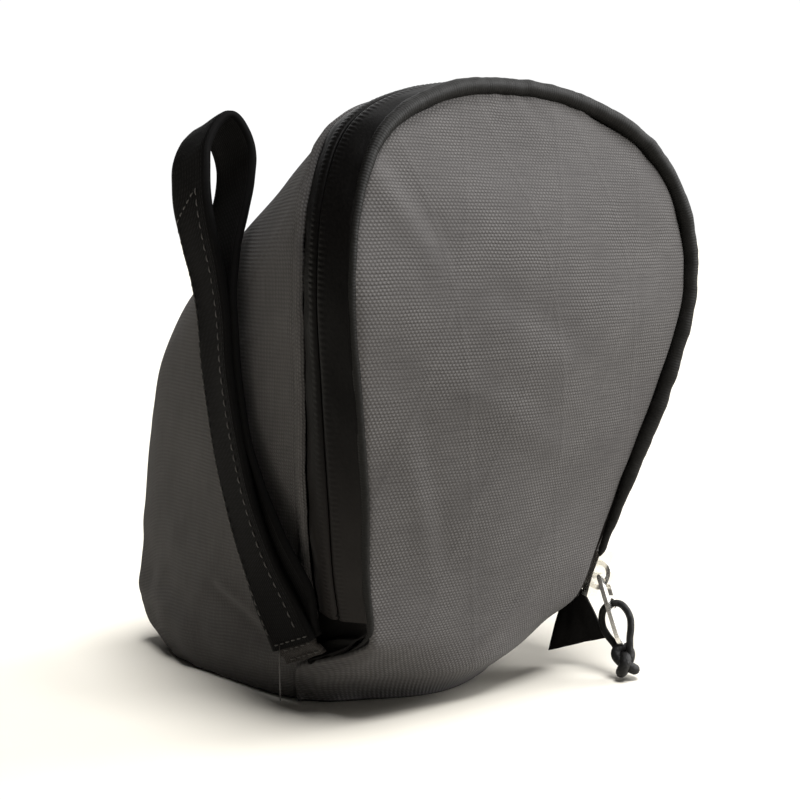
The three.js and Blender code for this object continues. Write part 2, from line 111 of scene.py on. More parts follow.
# Above its foot the inner layer slips forward from under the outer one
STRAP_FAN, FAN_REACH = 6.0, (STRAP_TRIM, 0.05, 0.06, 0.16)
# Middle line of the right strap: x, y, z, half the distance between its layers, turn in degrees
STRAP_LINE = np.array([
    (52.4, -33.2, 18, 0.2, 8), (55.2, -30.7, 33, 0.2, 8), (57.2, -27.5, 48, 0.2, 9),
    (58.8, -24, 62, 0.2, 10), (60.3, -20.5, 78, 0.2, 11), (61.3, -18, 95, 0.2, 12),
    (61.2, -16, 111, 0.3, 11), (61.2, -14.6, 121, 0.9, 10), (61.1, -13.6, 130, 2.6, 9),
    (60.3, -12.5, 139, 4.6, 8), (59, -11.3, 147, 5.9, 8), (57.6, -10.2, 153.5, 5.8, 8),
    (56.5, -9.2, 159, 3.8, 8), (56, -8.6, 162.3, 0, 8),
])
# The left strap's foot lies further in, along the pinched wall
LEFT_FOOT_LINE = np.array([
    (47.2, -35.1, 17.4, 0.2, -6), (52.2, -31.7, 32.6, 0.2, -3), (56.7, -27.8, 48, 0.2, 6),
])

STEP = 1e-3
BACKWARDS = np.array((0.0, 1.0, 0.0))


# Curves and surfaces of the bag

def lerp(a, b, t):
    return a + (b - a) * t


def smooth(x, low, high):
    t = np.clip((x - low) / (high - low), 0, 1)
    return t * t * (3 - 2 * t)


def hump(x, start, full, fade, end):
    return smooth(x, start, full) * (1 - smooth(x, fade, end))


def bell(x, width, height=1):
    return height * np.exp(-(x / width) ** 2)


def unit(v):
    return v / np.maximum(np.linalg.norm(v, axis=-1, keepdims=True), 1e-12)


def spline(keys, t):
    """Points at the shares t of a centripetal Catmull-Rom curve through keys, or of one curve for each."""
    keys, t = np.asarray(keys, float), np.asarray(t, float)
    last = keys.shape[-2] - 1
    place = np.clip(t, 0, 1) * last
    first = np.minimum(place.astype(int), last - 1)
    w = (place - first)[..., None]
    before = 2 * keys[..., :1, :] - keys[..., 1:2, :]
    after = 2 * keys[..., -1:, :] - keys[..., -2:-1, :]
    run = np.concatenate([before, keys, after], axis=-2)
    if keys.ndim == 2:
        p0, p1, p2, p3 = (run[first + k] for k in range(4))
    else:
        row = np.arange(len(first))
        p0, p1, p2, p3 = (run[row, first + k] for k in range(4))
    d0, d1, d2 = (np.maximum(np.linalg.norm(b - a, axis=-1, keepdims=True), 1e-8) ** 0.5
                  for a, b in ((p0, p1), (p1, p2), (p2, p3)))
    leave = ((p1 - p0) / d0 - (p2 - p0) / (d0 + d1) + (p2 - p1) / d1) * d1
    arrive = ((p2 - p1) / d1 - (p3 - p1) / (d1 + d2) + (p3 - p2) / d2) * d1
    return (p1 + leave * w + (3 * p2 - 3 * p1 - 2 * leave - arrive) * w ** 2
            + (2 * p1 - 2 * p2 + leave + arrive) * w ** 3)


def tangent(keys, t):
    t = np.asarray(t, float)
    return unit(spline(keys, np.minimum(t + 1e-4, 1)) - spline(keys, np.maximum(t - 1e-4, 0)))


def lengths_along(line):
    """Distance of each point of a line from its first."""
    return np.concatenate([[0], np.cumsum(np.linalg.norm(np.diff(line, axis=0), axis=1))])


def ring(half, top, y_top, y_low, bow, tuck, square):
    out = lerp(OUTLINE[:, 0], OUTLINE[:, 2], square)
    up = lerp(OUTLINE[:, 1], OUTLINE[:, 3], square)
    drawn_in = tuck * np.maximum(0, 1 - up / TUCK_HEIGHT) ** 2
    y = lerp(y_low, y_top, up) - bow * BOW_PEAK * up * up * (1 - up) + drawn_in
    side = np.stack([half * out, y, lerp(WALL_FOOT, top, up)], axis=1)
    return np.concatenate([side[:0:-1] * (-1, 1, 1), side])


def pinched(keys, depth):
    """A ring of the wall drawn in on the left, where the strap's foot and the zip's end pull on it."""
    x, z = keys[:, 0], keys[:, 2]
    pull = depth * hump(z, *PINCH_REACH) * (x < 0)
    return keys + np.stack([pull, 0 * z, 0 * z], axis=1)


face_ring = ring(*FACE_RING)
body_rings = [pinched(ring(*values), depth) for values, depth in zip(BODY_RINGS, PINCH)]
body_seam, back_ring = body_rings[0], body_rings[-1]


def outward(keys, s):
    return unit(np.cross(tangent(keys, s), BACKWARDS))


def rim_point(s):
    on_body = 1 - np.where(s < 0.5, smooth(s, *RIM_TURN_LEFT), smooth(1 - s, *RIM_TURN_RIGHT))
    seam = spline(body_seam, s) - BACKWARDS * CANVAS_THICK
    return lerp(spline(face_ring, s), seam, on_body[..., None])


def piping_point(s):
    return rim_point(s) + outward(face_ring, s) * (PIPING_RADIUS + GAP)


def band_edge(s):
    run = unit(piping_point(s + STEP) - piping_point(s - STEP))
    into_band = unit(np.cross(outward(face_ring, s), run))
    return piping_point(s) + into_band * (PIPING_RADIUS + GAP)


def twist_at(s):
    return hump(s, *TWIST_REACH)


def slit_at(s):
    return lerp(0.5, TWIST_SLIT, twist_at(s))


def band_point(s, across):
    ridge = twist_at(s) * np.sin(np.pi * np.clip(across, 0, 1) ** TWIST_SKEW)
    bulge = BAND_BULGE * np.sin(np.pi * across) + TWIST_OUT * ridge
    return (lerp(band_edge(s), spline(body_seam, s), across[..., None])
            + outward(body_seam, s) * bulge[..., None] - BACKWARDS * (TWIST_FORWARD * ridge)[..., None])


def body_point(s, along):
    return spline(np.stack([spline(keys, s) for keys in body_rings], axis=-2), along)


def back_rim(s):
    return spline(back_ring, s) - outward(back_ring, s) * (CANVAS_THICK + GAP)


def rounded_corners(at, depth=4.2, reach=17, fade=(5, 18), inwards=0.6, backwards=0.8, keys=5):
    """Wall points near the lower corners of the face drawn in, so that the cloth turns them softly."""
    low = 1 - smooth(at[:, 2], *fade)
    for side, seam in ((-1, body_seam[:keys]), (1, body_seam[::-1][:keys])):
        corner = [np.interp(at[:, 2], seam[:, 2], seam[:, k]) for k in (0, 1)]
        away = np.hypot(at[:, 0] - corner[0], at[:, 1] - corner[1])
        pull = depth * (1 - np.clip(away / reach, 0, 1)) ** 2 * low
        at = at + np.stack([-side * pull * inwards, pull * backwards, 0 * pull], axis=1)
    return at


def to_floor(at, sink=7, roll=13, change=(-20, 30), full=20):
    """The lowest rows of a wall rolled under past the edge of the base, down to just above the floor. Along
    the bag the roll goes from the front's to the back's, and it is full that far from the middle."""
    at = rounded_corners(at)
    x, y, z = at.T
    sunk = (WALL_FOOT - HEM_FOOT) * (1 - smooth(z, WALL_FOOT, WALL_FOOT + sink))
    under = (1 - smooth(z, WALL_FOOT, WALL_FOOT + roll)) ** 2
    sideways = lerp(ROLL_FRONT, ROLL_BACK, smooth(y, *change)) * np.clip(x / full, -1, 1)
    backwards = ROLL_FACE * np.clip((y - change[0]) / full, -1, 0)
    return at - np.stack([sideways * under, backwards * under, sunk], axis=1)


def panel_point(rim, profile, across, down):
    edge = rim(lerp(0.5 + PANEL_CORNER, 1, down))
    middle = spline(profile, down)
    share = across * across
    return np.stack([across * edge[:, 0], lerp(middle[:, 1], edge[:, 1], share),
                     lerp(middle[:, 2], edge[:, 2], share)], axis=1)


def strap_ribbon(side):
    """The strap's surface by shares of its run, up the outer layer and down the inner, and of its width."""
    middle = STRAP_LINE
    if side < 0:
        middle = np.concatenate([LEFT_FOOT_LINE, STRAP_LINE[len(LEFT_FOOT_LINE):]])
    at = middle[:, :3] * (side, 1, 1)
    opening, turn = middle[:, 3:4], np.radians(middle[:, 4])
    level = np.stack([-side * np.sin(turn), np.cos(turn), 0 * turn], axis=1)
    out = unit(np.cross(tangent(at, np.linspace(0, 1, len(at))), level))
    layer = [at + out * (sign * side * opening) for sign in (-1, 1)]
    route = np.concatenate([layer[0], layer[1][-2::-1]])

    def ribbon(u, v):
        u = lerp(STRAP_TRIM, 1 - STRAP_TRIM, u)
        from_end = np.minimum(u, 1 - u)
        lean = tangent(at, from_end * 2)
        across = spline(level, from_end * 2)
        across = unit(across - lean * (across * lean).sum(1, keepdims=True))
        cut = STRAP_SLANT * (0.5 - v) * (1 - smooth(from_end, 0, STRAP_SLANT_REACH))
        fan = np.where(u > 0.5, STRAP_FAN * hump(from_end, *FAN_REACH), 0)
        return spline(route, u) + across * ((v - 0.5) * STRAP_WIDTH - fan)[:, None] + lean * cut[:, None]
    return ribbon


def creases(x, y, height, length, seed, waves=9, shortest=0.6, longest=1.7):
    """Smooth uneven swell about that high, made of waves about that long in all directions."""
    draw = np.random.default_rng(seed)
    total = np.zeros_like(x)
    for turn, stretch, phase in draw.random((waves, 3)):
        angle = 2 * np.pi * turn
        k = 2 * np.pi / (length * lerp(shortest, longest, stretch))
        total += np.sin(k * (x * np.cos(angle) + y * np.sin(angle)) + 2 * np.pi * phase)
    return height * total / np.sqrt(waves)


# Meshes

def link_piece(name, data, body, material, slot, *nodes):
    piece = bpy.data.objects.new(name, data)
    bpy.context.scene.collection.objects.link(piece)
    data.materials.append(material)
    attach(piece, body)
    if nodes:
        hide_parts(*nodes)
    return piece


def smooth_mesh(name, points, faces, uv=None):
    """Smooth mesh of points in millimetres; uv holds a place in metres for each corner of each face."""
    mesh = bpy.data.meshes.new(name)
    mesh.from_pydata((np.asarray(points) * MM).tolist(), [], faces)
    if uv is not None:
        layer = mesh.uv_layers.new(name="thread")
        layer.data.foreach_set("uv", uv.astype(np.float32).ravel())
    mesh.shade_smooth()
    return mesh


def corners_of(grid):
    """The four corners of each cell of a grid, going round it."""
    return np.stack([grid[:-1, :-1], grid[:-1, 1:], grid[1:, 1:], grid[1:, :-1]], axis=2)


def grid_mesh(name, at, columns, rows, facing, thread=None):
    """Smooth mesh of quads over a grid of points in millimetres. Its UVs are distances in metres along the
    grid, or those that thread(points) gives in millimetres."""
    grid = at.reshape(rows + 1, columns + 1, 3)
    middle = columns // 2
    across = np.concatenate([np.zeros((rows + 1, 1)),
                             np.cumsum(np.linalg.norm(np.diff(grid, axis=1), axis=2), axis=1)], axis=1)
    across -= across[:, middle:middle + 1]
    down = np.repeat(lengths_along(grid[:, middle])[:, None], columns + 1, axis=1)
    uv = (np.stack([across, down], axis=2).reshape(-1, 2) if thread is None else thread(at)) * MM
    number = np.arange((rows + 1) * (columns + 1)).reshape(rows + 1, columns + 1)
    corners = corners_of(number).reshape(-1, 4)
    if facing < 0:
        corners = corners[:, ::-1]
    return smooth_mesh(name, at, corners.tolist(), uv[corners.ravel()])


def way_out(point, u, v):
    """Direction at right angles to a surface of shares u and v."""
    along_u = point(np.minimum(u + STEP, 1), v) - point(np.maximum(u - STEP, 0), v)
    along_v = point(u, np.minimum(v + STEP, 1)) - point(u, np.maximum(v - STEP, 0))
    return unit(np.cross(along_u, along_v))


def add_sheet(name, node, material, slot, thick, point, relief, columns, rows, facing, thread=None):
    """Sheet on a surface of shares u and v, which relief(u, v, points) swells outwards in millimetres. Its
    thickness goes inwards."""
    u, v = (g.ravel() for g in np.meshgrid(np.linspace(0, 1, columns + 1), np.linspace(0, 1, rows + 1)))
    at = point(u, v)
    at = at + way_out(point, u, v) * facing * relief(u, v, at)[:, None]
    mesh = grid_mesh(name, at, columns, rows, facing, thread)
    wall = link_piece(name, mesh, "bag", material, slot, node).modifiers.new("wall", "SOLIDIFY")
    wall.thickness, wall.offset, wall.use_even_offset = thick * MM, -1, False


def round_tube(name, middle, side, radius, sides):
    """Closed tube round the points middle: radius is an array of points by sides, side its zero direction."""
    run = unit(np.gradient(middle, axis=0))
    side = unit(side - run * (side * run).sum(1, keepdims=True))
    other = np.cross(run, side)
    angle = np.linspace(0, 2 * np.pi, sides + 1)
    radius = np.concatenate([radius, radius[:, :1]], axis=1)
    at = (middle[:, None] + side[:, None] * (np.cos(angle) * radius)[..., None]
          + other[:, None] * (np.sin(angle) * radius)[..., None])
    count = len(middle)
    number = np.arange(count)[:, None] * sides + np.arange(sides + 1) % sides
    faces = corners_of(number).reshape(-1, 4)[:, ::-1].tolist()
    faces += [list(range(sides)), list(range(count * sides - 1, (count - 1) * sides - 1, -1))]
    turn = np.arange(sides + 1) / sides * 2 * np.pi * radius.mean()
    place = np.stack(np.broadcast_arrays(turn[None, :], lengths_along(middle)[:, None]), axis=2) * MM
    uv = corners_of(place).reshape(-1, 4, 2)[:, ::-1].reshape(-1, 2)
    uv = np.concatenate([uv, np.zeros((2 * sides, 2))])
    return smooth_mesh(name, at[:, :-1].reshape(-1, 3), faces, uv)


STITCH, STITCH_GAP, THREAD_RADIUS = 1.9, 1.1, 0.2


def thread_mesh(name, stitches, sides=6, spans=5, arch=0.9, sunk=0.35, thin=0.55):
    """Short round stitches, each from one point to another, arched over the cloth along out; their arch, and
    the depth and thinness of their ends, are in thread radii."""
    points, faces = [], []
    angles = np.arange(sides) / sides * 2 * np.pi
    for start, end, out in stitches:
        side = unit(np.cross(out, unit(end - start)))
        first = len(points)
        for t in np.arange(spans + 1) / spans:
            bow = math.sin(math.pi * t)
            middle = lerp(start, end, t) + out * (THREAD_RADIUS * (arch * bow - sunk))
            size = THREAD_RADIUS * lerp(thin, 1, max(bow, 0) ** 0.5)
            points += [middle + (side * math.cos(a) + out * math.sin(a)) * size for a in angles]
        for k in range(spans):
            for j in range(sides):
                a, b = first + k * sides + j, first + k * sides + (j + 1) % sides
                faces.append((a, b, b + sides, a + sides))
        faces.append(tuple(range(first + sides - 1, first - 1, -1)))
        faces.append(tuple(range(first + spans * sides, first + (spans + 1) * sides)))
    return smooth_mesh(name, points, faces)


# Materials

def linear(hexed):
    parts = [int(hexed[i:i + 2], 16) / 255 for i in (1, 3, 5)]
    return (*(p / 12.92 if p <= 0.04045 else ((p + 0.055) / 1.055) ** 2.4 for p in parts), 1)


def add(tree, kind, *inputs, colours=None, **settings):
    """Adds a node with its settings. Inputs, colours and settings that begin with a capital are its sockets:
    a node or a socket is linked there, and any other value is set."""
    made = tree.nodes.new("ShaderNode" + kind)
    sockets = {**dict(enumerate(inputs)), **(colours or {})}
    for key, value in settings.items():
        if key[0].isupper():
            sockets[key] = value
        else:
            setattr(made, key, value)
    for key, value in sockets.items():
        if isinstance(value, bpy.types.Node):
            value = value.outputs[0]
        if isinstance(value, bpy.types.NodeSocket):
            tree.links.new(value, made.inputs[key])
        else:
            made.inputs[key].default_value = value
    return made


# Places of the two colours among a mix node's inputs, and of its colour among its outputs
SHADE_A, SHADE_B, MIXED = 6, 7, 2


def shades(first, second):
    return {SHADE_A: linear(first), SHADE_B: linear(second)}


def finish_of(name, **sockets):
    material = bpy.data.materials.new(name)
    material.use_nodes = True
    for key, value in sockets.items():
        material.node_tree.nodes["Principled BSDF"].inputs[key.replace("_", " ")].default_value = value
    return material, partial(add, material.node_tree)


def wire(material, colour, **others):
    """Links the colour that a mix node gives, and other nodes, to the shader's sockets of those names."""
    links = material.node_tree.links
    sockets = material.node_tree.nodes["Principled BSDF"].inputs
    links.new(colour.outputs[MIXED], sockets["Base Color"])
    for key, node in others.items():
        links.new(node.outputs[0], sockets[key])
    return material


# Sizes in the materials are in millimetres unless they say otherwise

# Weave of the canvas in millimetres: warp and weft spacing, how far the weft wanders and over what length,
# and the size of its worn patches; slubs and cloudy patches in each metre; shares of its ribs and beads
WARP, WEFT, WEFT_DRIFT, DRIFT_LENGTH, WORN_PATCH = 0.55, 0.88, 0.6, 9, 16
SLUBS, CLOUDS = 90, 22
RIB_SHARE, BEAD_SHARE = 0.62, 0.36
# The crossed scrim yarns under it: spacing and width in millimetres, lean in degrees
SCRIM_SPACING, SCRIM_WIDTH, SCRIM_LEAN = 33, 1.7, 15


def polyester_canvas(name, dark, light, depth=0.2):
    # Heavy plain-weave polyester laminated to a scrim: matt, with fine weft ribs broken into beads by the
    # warp, slubby threads, and the scrim's steep crossed yarns that show through as faint broad ridges
    material, make = finish_of(name, Roughness=0.85, Specular_IOR_Level=0.2, Sheen_Weight=0.02,
                               Sheen_Roughness=0.5, IOR=1.45)
    place = make("UVMap", uv_map="thread")
    apart = make("SeparateXYZ", place)
    x, y = apart.outputs["X"], apart.outputs["Y"]
    warp = make("Math", x, math.pi / (WARP * MM), operation="MULTIPLY")
    warp = make("Math", warp, operation="SINE")
    drift = make("TexNoise", place, Scale=1 / (DRIFT_LENGTH * MM), Detail=1.0)
    row = make("Math", drift, WEFT_DRIFT * MM, y, operation="MULTIPLY_ADD")
    weft = make("Math", row, math.pi / (WEFT * MM), operation="MULTIPLY")
    weft = make("Math", weft, operation="SINE")
    rib = make("Math", weft, operation="ABSOLUTE")
    rib = make("Math", rib, RIB_SHARE, operation="MULTIPLY")
    bead = make("Math", warp, weft, operation="MULTIPLY")
    weave = make("Math", bead, BEAD_SHARE, rib, operation="MULTIPLY_ADD")
    patch = make("TexNoise", place, Scale=1 / (WORN_PATCH * MM), Detail=2.0)
    wear = make("MapRange", patch, 0.3, 0.7, 0.5, 1.3)
    weave = make("Math", weave, wear, operation="MULTIPLY")
    ridges = []
    for lean in (SCRIM_LEAN, -SCRIM_LEAN):
        shifted = make("Math", y, math.tan(math.radians(lean)), x, operation="MULTIPLY_ADD")
        off = make("Math", shifted, SCRIM_SPACING / 2 * MM, operation="PINGPONG")
        ridges.append(make("MapRange", off, 0.0, SCRIM_WIDTH * MM, 1.0, 0.0, interpolation_type="SMOOTHSTEP"))
    scrim = make("Math", *ridges, operation="MAXIMUM")
    drawn_out = make("Mapping", place, Scale=(SLUBS, 1 / (WEFT * MM), 1))
    slub = make("TexNoise", drawn_out, Scale=1.0, Detail=2.0)
    cloud = make("TexNoise", place, Scale=CLOUDS, Detail=3.0)
    # Tone and height are sums of shares of the weave, the slubs, the clouds and the scrim. The weave's share
    # of the tone is painted shade: the gaps between the yarns are drawn darker
    tone = make("Math", weave, 0.6, -0.06, operation="MULTIPLY_ADD")
    tone = make("Math", slub, 0.35, tone, operation="MULTIPLY_ADD")
    tone = make("Math", cloud, 0.25, tone, operation="MULTIPLY_ADD")
    height = make("Math", slub, 0.4, weave, operation="MULTIPLY_ADD")
    height = make("Math", scrim, 0.35, height, operation="MULTIPLY_ADD")
    bump = make("Bump", Height=height, Strength=1.0, Distance=depth * MM)
    colour = make("Mix", tone, colours=shades(dark, light), data_type="RGBA")
    return wire(material, colour, Normal=bump)


# Heights between which the tape is painted lighter towards the bottom, a painted reflection of the bright
# floor, in millimetres
FLOOR_GLOW_TOP, FLOOR_GLOW_FULL = 95, 35


def coated_zip_tape(name, floor_glow, pebble=0.9, depth=0.12):
    # Polyurethane film on a polyester zip tape: black, nearly matt, with a fine pebbled skin. Lower down,
    # near its ends, it is painted lighter: a painted reflection of the bright floor
    material, make = finish_of(name, Roughness=0.42, IOR=1.5, Specular_IOR_Level=0.03)
    place = make("UVMap", uv_map="thread")
    grain = make("TexNoise", place, Scale=1 / (pebble * MM), Detail=3.0)
    bump = make("Bump", Height=grain, Strength=0.5, Distance=depth * MM)
    height = make("SeparateXYZ", make("TexCoord").outputs["Object"]).outputs["Z"]
    # Painted reflection: the tape is drawn lighter the lower it lies, where it would mirror the floor
    painted_glow = make("MapRange", height, FLOOR_GLOW_TOP * MM, FLOOR_GLOW_FULL * MM, 0.0, floor_glow,
                interpolation_type="SMOOTHSTEP")
    tone = make("Math", grain, 0.35, painted_glow, operation="MULTIPLY_ADD")
    colour = make("Mix", tone, colours=shades("#030303", "#232120"), data_type="RGBA")
    return wire(material, colour, Normal=bump)


def satin_binding(rib_every=0.8, grain_size=1.6, depth=0.12):
    # Ribbed polyester binding wrapped round a cord: black with a dull sheen and fine cross ribs
    material, make = finish_of("satin_polyester_binding", Roughness=0.55, Specular_IOR_Level=0.09, IOR=1.5)
    place = make("UVMap", uv_map="thread")
    along = make("SeparateXYZ", place).outputs["Y"]
    rib = make("Math", along, 2 * math.pi / (rib_every * MM), operation="MULTIPLY")
    rib = make("Math", rib, operation="SINE")
    grain = make("TexNoise", place, Scale=1 / (grain_size * MM), Detail=2.0)
    height = make("Math", rib, 0.3, grain, operation="MULTIPLY_ADD")
    bump = make("Bump", Height=height, Strength=0.6, Distance=depth * MM)
    colour = make("Mix", grain, colours=shades("#080807", "#181716"), data_type="RGBA")
    return wire(material, colour, Normal=bump)


def polyester_webbing(wale_every=1.4, rib_every=1.0, fuzz_size=2.5, depth=0.2):
    # Woven polyester webbing: black, matt, with fine cross ribs that break into short floats
    material, make = finish_of("woven_polyester_webbing", Roughness=0.75, Specular_IOR_Level=0.04, IOR=1.45)
    place = make("UVMap", uv_map="thread")
    apart = make("SeparateXYZ", place)
    wale = make("Math", apart.outputs["X"], 2 * math.pi / (wale_every * MM), operation="MULTIPLY")
    wale = make("Math", wale, operation="SINE")
    rib = make("Math", apart.outputs["Y"], 2 * math.pi / (rib_every * MM), operation="MULTIPLY")
    rib = make("Math", rib, operation="SINE")
    floats = make("Math", rib, wale, operation="MULTIPLY")
    weave = make("Math", rib, 0.3, 0.5, operation="MULTIPLY_ADD")
    weave = make("Math", floats, 0.3, weave, operation="MULTIPLY_ADD")
    fuzz = make("TexNoise", place, Scale=1 / (fuzz_size * MM), Detail=4.0)
    # The weave's share of the tone is painted shade: the webbing is drawn darker in the grooves between its
    # ribs
    tone = make("Math", fuzz, 0.5, -0.05, operation="MULTIPLY_ADD")
    tone = make("Math", weave, 0.4, tone, operation="MULTIPLY_ADD")
    bump = make("Bump", Height=weave, Strength=0.7, Distance=depth * MM)
    colour = make("Mix", tone, colours=shades("#040404", "#100f0f"), data_type="RGBA")
    return wire(material, colour, Normal=bump)


def nickel_plate(cloud_size=3, depth=0.15, smoothest=0.14, roughest=0.34):
    # Nickel plating on die-cast zinc: bright, with the soft unevenness of tumbling
    material, make = finish_of("nickel_plated_zinc", Metallic=1.0)
    place = make("TexCoord").outputs["Object"]
    cloud = make("TexNoise", place, Scale=1 / (cloud_size * MM), Detail=3.0)
    rough = make("MapRange", cloud, 0.0, 1.0, smoothest, roughest)
    bump = make("Bump", Height=cloud, Strength=0.25, Distance=depth * MM)
    colour = make("Mix", cloud, colours=shades("#e2e0da", "#f4f2ee"), data_type="RGBA")
    return wire(material, colour, Normal=bump, Roughness=rough)


def braided_cord(strand=1.1, depth=0.2):
    # Braided nylon cord: black, with crossing strands about a millimetre wide
    material, make = finish_of("braided_nylon_cord", Roughness=0.6, Specular_IOR_Level=0.22, IOR=1.5)
    place = make("TexCoord").outputs["Object"]
    cell = make("TexVoronoi", place, Scale=1 / (strand * MM))
    bump = make("Bump", Height=cell, Strength=0.8, Distance=depth * MM, invert=True)
    # Painted shade: the cord is drawn darker between its strands, where the grooves lie
    colour = make("Mix", cell, colours=shades("#141313", "#050505"), data_type="RGBA")
    return wire(material, colour, Normal=bump)


def sewing_thread(twist_length=0.5):
    # Twisted polyester sewing thread: dark grey, a little shiny, its twist drawn coarser than it is
    material, make = finish_of("grey_sewing_thread", Roughness=0.55, IOR=1.5)
    place = make("TexCoord").outputs["Object"]
    twist = make("TexNoise", place, Scale=1 / (twist_length * MM), Detail=1.0)
    colour = make("Mix", twist, colours=shades("#211f1d", "#36332f"), data_type="RGBA")
    return wire(material, colour)


def studio_paper(tooth_size=25):
    # Seamless white paper: matt and even, with a faint tooth, drawn far coarser than it is
    material, make = finish_of("seamless_paper", Roughness=0.9, IOR=1.3)
    place = make("TexCoord").outputs["Object"]
    tooth = make("TexNoise", place, Scale=1 / (tooth_size * MM), Detail=2.0)
    colour = make("Mix", tooth, colours=shades("#f7f2e6", "#faf5ea"), data_type="RGBA")
    return wire(material, colour)


canvas = polyester_canvas("polyester_canvas", "#2c2a2a", "#555352")
# The strips under the straps' ends are the same cloth in darker colours: painted shade for the dim place
# beside the wall where they lie
shade_darkened_canvas = polyester_canvas("shade_darkened_polyester_canvas", "#181615", "#322e2b")
# The band carries the painted floor reflection low down
tape = coated_zip_tape("polyurethane_coated_tape", 0.8)
# The folded ends are the same tape without the painted floor reflection
tape_without_glow = coated_zip_tape("polyurethane_coated_tape_without_glow", 0.0)
binding = satin_binding()
webbing = polyester_webbing()
nickel = nickel_plate()
braid = braided_cord()
grey_thread = sewing_thread()


# Camera

def add_camera(sensor=36, near=0.02, far=100):
    a, e = math.radians(CAMERA_AZIMUTH), math.radians(CAMERA_PITCH)
    back = Vector((math.sin(a) * math.cos(e), -math.cos(a) * math.cos(e), math.sin(e)))
    data = bpy.data.cameras.new("camera")
    data.lens, data.sensor_width, data.sensor_fit = CAMERA_LENS, sensor, "HORIZONTAL"
    data.clip_start, data.clip_end = near, far
    camera = bpy.data.objects.new("camera", data)
    camera.location = Vector(CAMERA_EYE) * MM
    camera.rotation_mode = "QUATERNION"
    camera.rotation_quaternion = (-back).to_track_quat("-Z", "Y")
    bpy.context.scene.collection.objects.link(camera)
    bpy.context.scene.camera = camera


# Pull cord and its knot

def pull_frame():
    """Places in the frame of the pull, in millimetres: x down it, y along its hinge, z out of its face."""
    s = np.array([SLIDER_AT])
    at = slit_at(s)
    along = unit(band_point(s + STEP, at) - band_point(s - STEP, at))[0]
    across = unit(band_point(s, at + STEP) - band_point(s, at - STEP))[0]
    out = unit(np.cross(along, across))
    hinge = np.cross(out, along)
    turn = np.array([along * math.cos(PULL_SWING) + out * math.sin(PULL_SWING), hinge,
                     out * math.cos(PULL_SWING) - along * math.sin(PULL_SWING)])
    origin = band_point(s, at)[0] + out * HINGE_HEIGHT
    return lambda local: origin + np.asarray(local, float) @ turn


def add_pull_cord(points=69, knot_points=145, sides=12, swollen=1.5):
    on_pull = pull_frame()
    half = [(down, 0, -out) for down, out in CORD_INTO_KNOT + CORD_HALF]
    keys = half + [(down, 0, -out) for down, _, out in half[::-1]]
    route = on_pull(spline(np.array(keys, float), np.linspace(0, 1, points)))
    curve = bpy.data.curves.new("cord_loop", "CURVE")
    curve.dimensions = "3D"
    line = curve.splines.new("POLY")
    line.points.add(len(route) - 1)
    for point, place in zip(line.points, route * MM):
        point.co = (*place, 1)
    curve.bevel_depth, curve.bevel_resolution, curve.use_fill_caps = CORD_RADIUS * MM, 4, True
    cord = link_piece("cord_loop", curve, "pull", braid, "cord", "pull_cord")

    # The knot is a trefoil, the plain overhand knot with its ends joined
    t = np.linspace(0, 2 * np.pi, knot_points)
    tied = np.stack([np.cos(t) - 2 * np.cos(2 * t), np.sin(t) + 2 * np.sin(2 * t), -np.sin(3 * t)], axis=1)
    centre = np.array((KNOT_AT, 0, KNOT_OUT))
    middle = on_pull(tied * KNOT_SPREAD + centre)
    radius = np.full((knot_points, sides), CORD_RADIUS * swollen)
    mesh = round_tube("cord_knot", middle, middle - on_pull(centre), radius, sides)
    knot = link_piece("cord_knot", mesh, "pull", braid, "cord", "pull_knot")


# Canvas panels

# Folds pressed into the cloth, from one place to another: across and up the face, and along and up the side
FACE_FOLDS = [
    # places, height, width
    (((-4.0, 22.0), (16.0, 35.0)), 0.55, 2.6),
    (((-55.0, 158.0), (-33.0, 124.0)), 0.6, 4.0),
    (((-26.0, 119.0), (15.0, 101.0)), 0.35, 4.5),
    (((-34.0, 104.0), (22.0, 74.0)), 0.35, 5.0),
    (((-41.0, 88.0), (-20.0, 40.0)), 0.35, 3.6),
]
SIDE_FOLD = (((8.0, 31.0), (-17.0, 17.5)), 0.9, 2.4)


def pressed_fold(x, y, ends, height, width, reach=(-0.15, 0.3, 0.7, 1.15), share=0.8, shift=0.3):
    """A soft ridge along the line between two places, and beside it a groove with a share of its height."""
    start, run = np.array(ends[0]), np.subtract(ends[1], ends[0])
    length = np.linalg.norm(run)
    along = ((x - start[0]) * run[0] + (y - start[1]) * run[1]) / length ** 2
    off = ((x - start[0]) * run[1] - (y - start[1]) * run[0]) / length
    groove = share * bell(off + shift * width, width)
    return height * hump(along, *reach) * (bell(off - width, width) - groove)


def rows_by_height(profile, roll=32, stretch=1.15):
    """Thread places of a panel: level weft rows, as far apart as they lie down its middle, and evenly spaced
    below the height where it rolls under."""
    line = spline(profile, np.linspace(1, 0, 400))
    down = lengths_along(line)

    def place(at):
        x, z = at[:, 0], at[:, 2]
        above = np.interp(np.maximum(z, roll), line[:, 2], down)
        return np.stack([x, stretch * np.maximum(roll - z, 0) - above], axis=1)
    return place


# Rough sizes of the panels, over which their creases are spread
FACE_WIDTH, FACE_HALF, FACE_LENGTH = 90, 55, 190
BODY_LENGTH, BODY_ROUND = 118, 440
BACK_HALF, BACK_LENGTH = 43, 110
# Puckers beside a seam and gathers behind the hem fade over these distances
PUCKER_REACH, GATHER_REACH = 7, 9
# The face goes on under the piping, at its top over a share of its length; least half width of its top
PANEL_TUCK, TOP_TUCK, LEAST_HALF = 1.6, 0.02, 12
# Heights below which the face's side edges turn in and the body's hem fades
EDGE_TURN = (12, 26)
HEM_HALF, HEM_RISE = 1.7, 1.1


